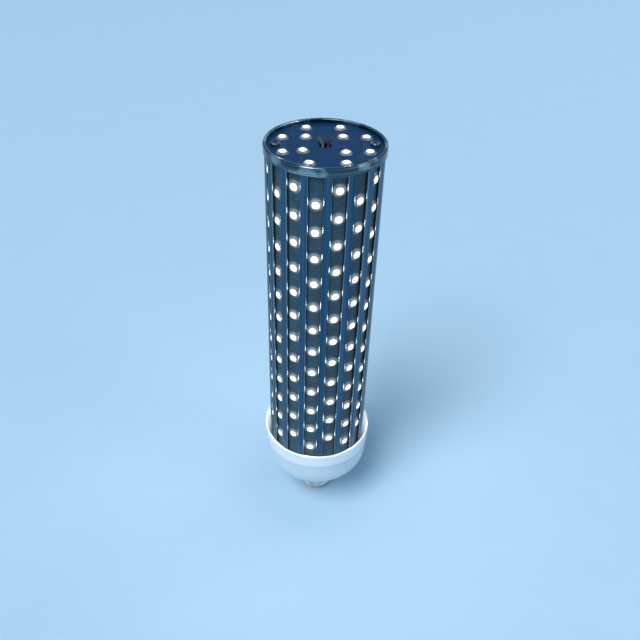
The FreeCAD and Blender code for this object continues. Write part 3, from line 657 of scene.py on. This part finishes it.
def make_top_mask(light_places):
    """Navy solder mask of the top board; rings of copper under it join the lights."""
    finish, tree, shader = new_finish("top_mask", specular_ior_level=0.08, emission_strength=0.34)
    place = part_place(tree)
    nearest = FAR_AWAY
    for light_place in light_places:
        away = vector_calc(tree, "DISTANCE", place, light_place.translation)["Value"]
        nearest = calc(tree, "MINIMUM", nearest, away)
    radius = length_of(tree, off_axis(tree, place))
    fields = 1.0
    for ring in TRACE_RINGS:
        away = calc(tree, "ABSOLUTE", calc(tree, "SUBTRACT", radius, ring))
        fields = calc(tree, "MULTIPLY", fields, spread(tree, away, TRACE_GAP))
    colours = (NAVY_DARK, NAVY, NAVY_LIGHT)
    paint_mask(tree, shader, fields, colours, TOP_ROUGHNESS, nearest, TOP_HALO_TO)
    return finish


def make_bowl_white():
    """Glossy white plastic, a little milky, with painted glow inside its hollow, strongest towards the
    rim, and faintly on the rim band above the crease; below the crease it is painted darker as shade.
    """
    finish, tree, shader = new_finish(
        "bowl_white", coat_weight=0.5, coat_roughness=0.08, emission_strength=0.8
    )
    grain = use_group(tree, fine_grain, scale=2.5)
    place = part_place(tree)
    height = split(tree, place)["Z"]
    radius = length_of(tree, off_axis(tree, place))
    # Painted glow: the hollow's inner wall glows, more towards the rim, and the rim band glows faintly
    inside = spread(tree, radius, (BOWL_INSIDE, BOWL_INSIDE + INSIDE_BLUR), FALLING)
    painted_inner_glow = calc(tree, "MULTIPLY", inside, spread(tree, height, BOWL_PAINTED_GLOW_HEIGHTS))
    band = spread(tree, height, (BOWL_CREASE - CREASE_BLUR, BOWL_CREASE + CREASE_BLUR))
    shine = calc(tree, "MAXIMUM", painted_inner_glow, calc(tree, "MULTIPLY", band, BAND_GLOW))
    fit(tree, mixed(tree, shine, UNLIT, PAINTED_GLOW_WHITE), shader["Emission Color"])
    cloudy = spread(tree, grain["Clouds"], GRAIN_SPAN, BOWL_CLOUDS)
    # Painted shade: the body below the crease is darker, the rim band above it stays white
    colour = mixed(tree, calc(tree, "MAXIMUM", band, cloudy), BOWL_PAINTED_SHADE, BOWL_WHITE)
    fit(tree, colour, shader["Base Color"])
    gloss = spread(tree, grain["Grain"], GRAIN_SPAN, BOWL_ROUGHNESS)
    fit(tree, smudged(tree, gloss, size=16.0, share=0.12), shader["Roughness"])
    raise_bump(tree, shader, grain["Grain"], distance=0.01, strength=0.4)
    return finish


def make_cap_nickel():
    """Bright nickel plate, with faint lines round it and the smudges of hands."""
    finish, tree, shader = new_finish("cap_nickel", metallic=1.0)
    turned = use_group(tree, turned_lines, fineness=3.0)
    grain = use_group(tree, fine_grain, scale=3.0)
    clouds, bands = grain["Clouds"], turned["Bands"]
    tone = toned(tree, clouds, BAND_SPAN, bands, BAND_SPAN, main_share=0.5)
    fit(tree, mixed(tree, tone, NICKEL_DARK, NICKEL_LIGHT), shader["Base Color"])
    plate = spread(tree, grain["Grain"], GRAIN_SPAN, CAP_ROUGHNESS)
    fit(tree, smudged(tree, plate, size=6.0, share=0.14), shader["Roughness"])
    raise_bump(tree, shader, turned["Lines"], distance=0.008, strength=0.4)
    return finish


def make_grained(name, dark, light, roughness, **constants):
    """A finish whose colour, gloss and surface vary with a fine grain."""
    finish, tree, shader = new_finish(name, **constants)
    grain = use_group(tree, fine_grain, scale=PLAIN_GRAIN)
    clouds, specks = grain["Clouds"], grain["Grain"]
    tone = toned(tree, clouds, GRAIN_SPAN, specks, GRAIN_SPAN, main_share=0.6)
    fit(tree, mixed(tree, tone, dark, light), shader["Base Color"])
    fit(tree, grained(tree, grain, roughness), shader["Roughness"])
    raise_bump(tree, shader, specks, PLAIN_RELIEF, strength=0.5)
    return finish


def make_light_glow(name, dark, light, strength, seen, roughness):
    """A lit surface, as bright as the mesh's glow says.

    The metal round a light takes its full strength, and the eye the seen share of it."""
    finish, tree, shader = new_finish(name, emission_strength=strength)
    glow = add_node(tree, "Attribute", attribute_name="glow").outputs["Fac"]
    straight = add_node(tree, "LightPath").outputs["Is Camera Ray"]
    share = spread(tree, straight, WHOLE, (1.0, seen))
    level = calc(tree, "MULTIPLY", calc(tree, "POWER", glow, GLOW_POWER), share)
    lit = mixed(tree, spread(tree, glow, CREAM_SPAN), LIGHT_CREAM, LIGHT_WHITE)
    fit(tree, mixed(tree, level, UNLIT, lit), shader["Emission Color"])
    grain = use_group(tree, fine_grain, scale=5.0)
    colour = mixed(tree, spread(tree, grain["Clouds"], GRAIN_SPAN), dark, light)
    fit(tree, colour, shader["Base Color"])
    fit(tree, grained(tree, grain, roughness), shader["Roughness"])
    return finish


# Mesh helpers
def eased(share):
    """A share held between 0 and 1, eased at both ends."""
    held = min(max(share, 0), 1)
    return held * held * (3 - 2 * held)


def grown(points, outline):
    """Spots of one loop: outline gives (across, along, out) for each point's angle."""
    return [outline(FULL_TURN * n / points) for n in range(points)]


def circle(radius, height):
    """A round outline."""
    return lambda angle: (radius * math.cos(angle), radius * math.sin(angle), height)


def round_square(half_across, half_along, corner, height):
    """A square outline with rounded corners; a larger corner number is sharper."""

    def spot(angle):
        across, along = math.cos(angle), math.sin(angle)
        reach = (abs(across) ** corner + abs(along) ** corner) ** (-1 / corner)
        return (half_across * across * reach, half_along * along * reach, height)

    return spot


def new_mesh(name, finishes):
    """An empty mesh with its finishes."""
    mesh = bpy.data.meshes.new(name)
    for finish in finishes:
        mesh.materials.append(finish)
    return mesh


def add_object(name, data):
    """A mesh, camera or lamp, put in the scene."""
    made = bpy.data.objects.new(name, data)
    bpy.context.scene.collection.objects.link(made)
    return made


def add_piece(name, mesh, sharp_angle):
    """A piece of the bulb from its mesh, smooth but for its sharp edges."""
    mesh.shade_smooth()
    mesh.set_sharp_from_angle(angle=math.radians(sharp_angle))
    piece = add_object(name, mesh)
    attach(piece, "root")
    return piece


class Shape:
    """Faces gathered in millimetres, each with the number of its finish, for one piece."""

    def __init__(self):
        self.spots = []
        self.faces = []
        self.glow = []

    def skin(self, loops, finish=0, glows=None, close_foot=False, close_top=False):
        """Bands between loops of as many spots each, with ends closed where asked."""
        first = len(self.spots)
        count = len(loops[0])
        for number, loop in enumerate(loops):
            self.spots += loop
            self.glow += glows[number] if glows else [0.0] * count
        for number in range(len(loops) - 1):
            low = first + number * count
            high = low + count
            for n in range(count):
                after = (n + 1) % count
                self.faces.append(((low + n, low + after, high + after, high + n), finish))
        if close_foot:
            self.faces.append((tuple(first + n for n in reversed(range(count))), finish))
        if close_top:
            top = first + (len(loops) - 1) * count
            self.faces.append((tuple(top + n for n in range(count)), finish))

    def prism(self, profile, middle, width, turn, finish):
        """A profile of (along, out) spots drawn across a width; turn is 1 or -1 for its side."""
        near, far = middle - width / 2, middle + width / 2
        ends = [[(x, turn * along, out) for along, out in profile] for x in (near, far)]
        if turn > 0:
            ends.reverse()
        self.skin(ends, finish, close_foot=True, close_top=True)

    def placed(self, place):
        """A copy of the shape, moved by a matrix."""
        copy = Shape()
        copy.spots = [tuple(place @ Vector(spot)) for spot in self.spots]
        copy.faces = list(self.faces)
        copy.glow = list(self.glow)
        return copy

    def take(self, other):
        """Add the faces of another shape."""
        first = len(self.spots)
        self.spots += other.spots
        self.glow += other.glow
        self.faces += [(tuple(first + n for n in face), finish) for face, finish in other.faces]

    def make(self, name, finishes, sharp_angle=SHARP_ANGLE):
        """The piece, riding on the bulb."""
        mesh = new_mesh(name, finishes)
        spots = [Vector(spot) * MM for spot in self.spots]
        mesh.from_pydata(spots, [], [face for face, _ in self.faces])
        mesh.polygons.foreach_set("material_index", [finish for _, finish in self.faces])
        glow = mesh.attributes.new("glow", "FLOAT", "POINT")
        glow.data.foreach_set("value", self.glow)
        mesh.update()
        return add_piece(name, mesh, sharp_angle)


# The lights
def case_glow(spot):
    """How bright the package shines at a spot: less and less from the window's edge to the corners,
    partly its plastic's own glow and partly a painted bloom.
    """
    away = (math.hypot(spot[0], spot[1]) - WINDOW_RADIUS) / (CORNER_REACH - WINDOW_RADIUS)
    return WINDOW_EDGE_GLOW + (CORNER_GLOW - WINDOW_EDGE_GLOW) * min(max(away, 0), 1) ** GLOW_FALL


def window_glow(spot):
    """How bright the window shines at a spot: most in its middle."""
    return 1 - WINDOW_GLOW_FALL * (math.hypot(spot[0], spot[1]) / WINDOW_RADIUS) ** 2


def make_light():
    """One light: x across the strip, y along it, z outwards from the strip's face."""
    top_across = CASE_HALF_ACROSS - CASE_CHAMFER
    top_along = CASE_HALF_ALONG - CASE_CHAMFER
    case = [
        round_square(CASE_HALF_ACROSS, CASE_HALF_ALONG, CASE_CORNER, CASE_LIFT),
        round_square(CASE_HALF_ACROSS, CASE_HALF_ALONG, CASE_CORNER, CASE_TOP - CASE_CHAMFER),
        round_square(top_across, top_along, CASE_CORNER, CASE_TOP),
        circle(WINDOW_RADIUS + WINDOW_LIP, CASE_TOP),
        circle(WINDOW_RADIUS, WINDOW_FLOOR),
    ]
    window = []
    for ring in range(WINDOW_RINGS):
        turn = math.pi / 2 * ring / WINDOW_RINGS
        rise = (LIGHT_HEIGHT - WINDOW_FLOOR) * math.sin(turn)
        window.append(circle(WINDOW_RADIUS * math.cos(turn), WINDOW_FLOOR + rise))
    light = Shape()
    loops = [grown(LIGHT_SEGMENTS, outline) for outline in case]
    glows = [[case_glow(spot) for spot in loop] for loop in loops]
    light.skin(loops, CASE_FINISH, glows, close_foot=True)
    loops = [grown(LIGHT_SEGMENTS, outline) for outline in window]
    glows = [[window_glow(spot) for spot in loop] for loop in loops]
    light.skin(loops, WINDOW_FINISH, glows, close_top=True)
    for turn in (1, -1):
        for middle in LEG_SPOTS:
            light.prism(LEG_PROFILE, middle, LEG_WIDTH, turn, LEG_FINISH)
            light.prism(PAD_PROFILE, middle, PAD_WIDTH, turn, LEG_FINISH)
    return light


def spots_of(node):
    """The corners of a CAD node, in millimetres."""
    return [corner.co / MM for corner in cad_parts[node].data.vertices]


def clusters(spots, reach):
    """Spots gathered into groups, where each spot is within a reach of another one of its group."""
    groups = []
    for spot in spots:
        near = [group for group in groups if any((spot - other).length < reach for other in group)]
        groups = [group for group in groups if group not in near]
        groups.append(sum(near, [spot]))
    return groups


def middle_of(group):
    """The middle of the box round a group of spots."""
    low = Vector([min(spot[axis] for spot in group) for axis in range(3)])
    high = Vector([max(spot[axis] for spot in group) for axis in range(3)])
    return (low + high) / 2


def upright_on(middle, outwards, along):
    """A matrix whose z points outwards and whose y points along."""
    across = along.cross(outwards)
    turn = Matrix((across, along, outwards)).transposed().to_4x4()
    return Matrix.Translation(middle) @ turn


def place_row(node):
    """Where the lights of a strip stand: on its face, facing out from the bulb's axis."""
    places = []
    for group in clusters(spots_of(node), LIGHT_REACH):
        middle = middle_of(group)
        outwards = Vector((middle.x, middle.y, 0)).normalized()
        face = min(spot.dot(outwards) for spot in group)
        places.append(upright_on(outwards * face + UP * middle.z, outwards, UP))
    return places


def place_top():
    """Where the lights of the top board stand: on its face, each in line with the board's middle."""
    places = []
    for group in clusters(spots_of("top_leds"), LIGHT_REACH):
        middle = middle_of(group)
        along = Vector((middle.x, middle.y, 0)).normalized()
        foot = min(spot.z for spot in group)
        places.append(upright_on(Vector((middle.x, middle.y, foot)), UP, along))
    return places


def make_lights(finishes):
    """The lights of every strip and of the top board; returns their places by CAD node."""
    light = make_light()
    rows = {node: place_row(node) for node in ROW_NODES}
    rows["top_leds"] = place_top()
    for node, places in rows.items():
        row = Shape()
        for place in places:
            row.take(light.placed(place))
        name = "top_lights" if node == "top_leds" else node.replace("led_row", "lights")
        piece = row.make(name, finishes)
        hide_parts(node)
    return rows


# Joints of the top board's wires
def lead_end(node, board_top):
    """Where a wire ends on the board, and which way it lies there."""
    lying = [spot for spot in spots_of(node) if spot.z > board_top]
    tip = max(lying, key=lambda spot: spot.xy.length)
    root = min(lying, key=lambda spot: spot.xy.length)
    end = middle_of([spot for spot in lying if (spot - tip).length < TOP_WIRE_WIDTH])
    return end, Vector((end.x - root.x, end.y - root.y, 0)).normalized()


def make_bead():
    """A round pad with a bead of solder on it."""
    outlines = [
        circle(PAD_RADIUS, 0.0),
        circle(PAD_RADIUS, PAD_HEIGHT),
        circle(BEAD_RADIUS, PAD_HEIGHT),
    ]
    for turn in BEAD_TURNS:
        height = PAD_HEIGHT + BEAD_HEIGHT * math.sin(turn)
        outlines.append(circle(BEAD_RADIUS * math.cos(turn), height))
    bead = Shape()
    loops = [grown(BEAD_SEGMENTS, outline) for outline in outlines]
    bead.skin(loops, close_foot=True, close_top=True)
    return bead


def make_tip(start):
    """The bare end of a wire, bent down from its start height into the bead."""
    reach = TIP_LENGTH + TIP_BACK
    round_wire = grown(TIP_SEGMENTS, circle(TIP_RADIUS, 0.0))
    loops = []
    for share in reversed(TIP_SHARES):
        along = share * reach - reach
        height = start * (1 - share * share) + TIP_SINK * share * share
        loops.append([(x, along, height + z) for x, z, _ in round_wire])
    tip = Shape()
    tip.skin(loops, close_foot=True, close_top=True)
    return tip


def make_wire_joints(finish):
    """Bare tips of the two wires, each bent down into a bead of solder on its pad."""
    board_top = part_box("top_board")[1].z / MM
    bead = make_bead()
    joints = Shape()
    for node in TOP_WIRES:
        end, way = lead_end(node, board_top)
        middle = end + way * TIP_LENGTH
        middle.z = board_top
        place = upright_on(middle, UP, way)
        joints.take(bead.placed(place))
        joints.take(make_tip(end.z - board_top).placed(place))
    joints.make("wire_joints", [finish], JOINT_SHARP_ANGLE)


# Ribbed tube
def is_head_edge(edge):
    """Whether an edge runs up the outside of a rib head, where the head turns."""
    foot, top = (corner.co / MM for corner in edge.verts)
    upright = (foot.xy - top.xy).length < UPRIGHT_SLACK
    outside = foot.xy.length > HEAD_FOOT
    return upright and outside and edge.calc_face_angle() > math.radians(HEAD_ANGLE)


def make_tube(finish):
    """The tube, with the outer edges of its rib heads rounded as the die leaves them."""
    form = bmesh.new()
    form.from_mesh(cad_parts["heat_sink"].data)
    bmesh.ops.remove_doubles(form, verts=form.verts, dist=TUBE_WELD * MM)
    flat = math.radians(FLAT_ANGLE)
    bmesh.ops.dissolve_limit(form, angle_limit=flat, verts=form.verts, edges=form.edges)
    head_edges = [edge for edge in form.edges if is_head_edge(edge)]
    bmesh.ops.bevel(
        form, geom=head_edges, offset=HEAD_ROUND * MM, offset_type="OFFSET", segments=HEAD_STEPS,
        profile=0.5, affect="EDGES", clamp_overlap=True,
    )
    mesh = new_mesh("ribbed_tube", [finish])
    form.to_mesh(mesh)
    form.free()
    tube = add_piece("ribbed_tube", mesh, SHARP_ANGLE)
    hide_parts("heat_sink")


# Screw cap
def make_cap(finish):
    """The shell: its thread as it is rolled, round over crest and root, and a crimped collar."""
    low, high = (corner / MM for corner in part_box("cap_shell"))
    spots = [(math.hypot(spot.x, spot.y), spot.z) for spot in spots_of("cap_shell")]
    collar = max(radius for radius, _ in spots)
    crest = max(radius for radius, height in spots if height < (low.z + high.z) / 2)
    bore = min(radius for radius, height in spots if height > high.z - CAP_SLACK)
    lip = min(radius for radius, _ in spots)
    collar_foot = min(height for radius, height in spots if radius > crest + CAP_SLACK)

    def thread(angle, height):
        """How deep the thread lies under the crest, fading out below the collar."""
        wave = 0.5 - 0.5 * math.cos(FULL_TURN * height / THREAD_PITCH - angle)
        return THREAD_DEPTH * wave * eased((collar_foot - THREAD_STOP - height) / THREAD_FADE)

    def crimp(angle, height):
        """How deep the punch has pressed the collar in."""
        step = FULL_TURN / CRIMP_COUNT
        around = (((angle + step / 2) % step) - step / 2) * collar
        away = math.hypot(around, height - high.z + CRIMP_DROP) / CRIMP_RADIUS
        return CRIMP_DEPTH * math.exp(-CRIMP_FALL * away * away)

    def outside(height):
        """The outline of the shell's outside at a height."""
        below = max(CAP_LEAD_IN - (height - low.z), 0)
        rounded = crest - CAP_LEAD_IN + math.sqrt(CAP_LEAD_IN**2 - below**2)
        rise = (collar - crest) * eased((height - collar_foot + COLLAR_START) / COLLAR_RISE)

        def spot(angle):
            radius = min(crest - thread(angle, height), rounded) + rise
            return circle(radius - crimp(angle, height), height)(angle)

        return spot

    heights = [low.z]
    while heights[-1] + CAP_STEP < high.z:
        heights.append(heights[-1] + CAP_STEP)
    heights.append(high.z)
    inner_lip = circle(lip, low.z + CAP_LIP)
    outlines = [inner_lip, circle(lip, low.z)]
    outlines += [outside(height) for height in heights]
    outlines += [circle(bore, high.z), circle(bore, low.z + CAP_LIP), inner_lip]
    shell = Shape()
    shell.skin([grown(CAP_SEGMENTS, outline) for outline in outlines])
    piece = shell.make("screw_shell", [finish], CAP_SHARP_ANGLE)
    weld = bmesh.new()
    weld.from_mesh(piece.data)
    bmesh.ops.remove_doubles(weld, verts=weld.verts, dist=CAP_WELD * MM)
    weld.to_mesh(piece.data)
    weld.free()
    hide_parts("cap_shell")


# Finishes of the CAD nodes that stay
def dress(finish, *nodes):
    """Give CAD nodes a finish."""
    for name in nodes:
        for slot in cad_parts[name].material_slots:
            slot.material = finish


def heights_of(places):
    """Heights of lights, lowest first."""
    return sorted(place.translation.z for place in places)


def dress_all(light_rows, solder):
    """Give every CAD node that stays its own finish."""
    high_row = heights_of(light_rows["led_row_01"])
    low_row = heights_of(light_rows["led_row_02"])
    dress(make_strip_mask(high_row, low_row), *STRIP_NODES)
    dress(make_ring_metal(), "end_ring")
    dress(make_top_mask(light_rows["top_leds"]), "top_board")
    dress(make_bowl_white(), "base_bowl")
    dress(solder, "strip_joints")
    for name, (dark, light, roughness, constants, nodes) in PLAIN_FINISHES.items():
        dress(make_grained(name, dark, light, roughness, **constants), *nodes)


# Studio
def aim(thing, place, target):
    """Put a camera or lamp in its place, facing a target."""
    thing.location = Vector(place)
    thing.rotation_mode = "QUATERNION"
    thing.rotation_quaternion = (Vector(target) - Vector(place)).to_track_quat("-Z", "Y")


def make_camera():
    """The camera at the photograph's place."""
    data = bpy.data.cameras.new("camera")
    data.sensor_width = SENSOR_WIDTH
    data.lens = FOCAL_LENGTH
    data.clip_start = CLIP_START * MM
    camera = add_object("camera", data)
    aim(camera, Vector(CAMERA_PLACE) * MM, Vector(CAMERA_AIM) * MM)
    camera.rotation_quaternion @= Quaternion((0, 0, 1), math.radians(CAMERA_ROLL))
    bpy.context.scene.camera = camera


def make_lamp(name, kind, place, strength):
    """A lamp that faces the bulb; returns its data."""
    data = bpy.data.lights.new(name, kind)
    data.energy = strength
    aim(add_object(name, data), place, BULB_MIDDLE)
    return data


def make_lamps():
    """Even daylight over the whole floor, with soft shadows, and three square soft lamps."""
    daylight = make_lamp("daylight", "SUN", DAYLIGHT_PLACE, DAYLIGHT_STRENGTH)
    daylight.angle = math.radians(DAYLIGHT_SOFTNESS)
    for name, place, size, watts in SOFT_LAMPS:
        make_lamp(name, "AREA", place, watts).size = size


def make_floor():
    """A wide round floor that keeps the bulb's shadow."""
    finish, tree, shader = new_finish("floor_paint", roughness=0.85)
    grain = use_group(tree, fine_grain, scale=0.4)
    fit(tree, mixed(tree, grain["Clouds"], FLOOR_BLUE, FLOOR_DEEP), shader["Base Color"])
    mesh = new_mesh("floor", [finish])
    edge = grown(FLOOR_SEGMENTS, circle(FLOOR_RADIUS, 0.0))
    mesh.from_pydata(edge, [], [tuple(range(FLOOR_SEGMENTS))])
    floor = add_object("floor", mesh)
    floor.location.z = cad_box[0].z - FLOOR_DROP


def make_world():
    """Pale surroundings, which light the bulb less than they show."""
    world = bpy.data.worlds.new("studio")
    bpy.context.scene.world = world
    world.use_nodes = True
    tree = world.node_tree
    back = tree.nodes["Background"].inputs
    back["Color"].default_value = FLOOR_BLUE
    path = add_node(tree, "LightPath").outputs
    shown = calc(tree, "MAXIMUM", path["Is Camera Ray"], path["Is Glossy Ray"])
    shown = calc(tree, "MAXIMUM", shown, path["Is Transmission Ray"])
    fit(tree, spread(tree, shown, WHOLE, (WORLD_LIGHT, WORLD_SHOWN)), back["Strength"])


make_camera()
solder = make_grained("solder", SOLDER_DARK, SOLDER_LIGHT, roughness=0.35, metallic=1.0)
light_case = make_light_glow(
    "light_case", CASE_DARK, CASE_LIGHT, strength=0.8, seen=0.95, roughness=0.5
)
light_window = make_light_glow(
    "light_window", WINDOW_DARK, WINDOW_LIGHT, strength=64.0, seen=0.0285, roughness=0.25
)
light_rows = make_lights([light_case, light_window, solder])
make_wire_joints(solder)
make_tube(make_tube_metal())
make_cap(make_cap_nickel())
dress_all(light_rows, solder)
make_floor()
make_world()
make_lamps()

bpy.context.scene.view_settings.view_transform = "Standard"
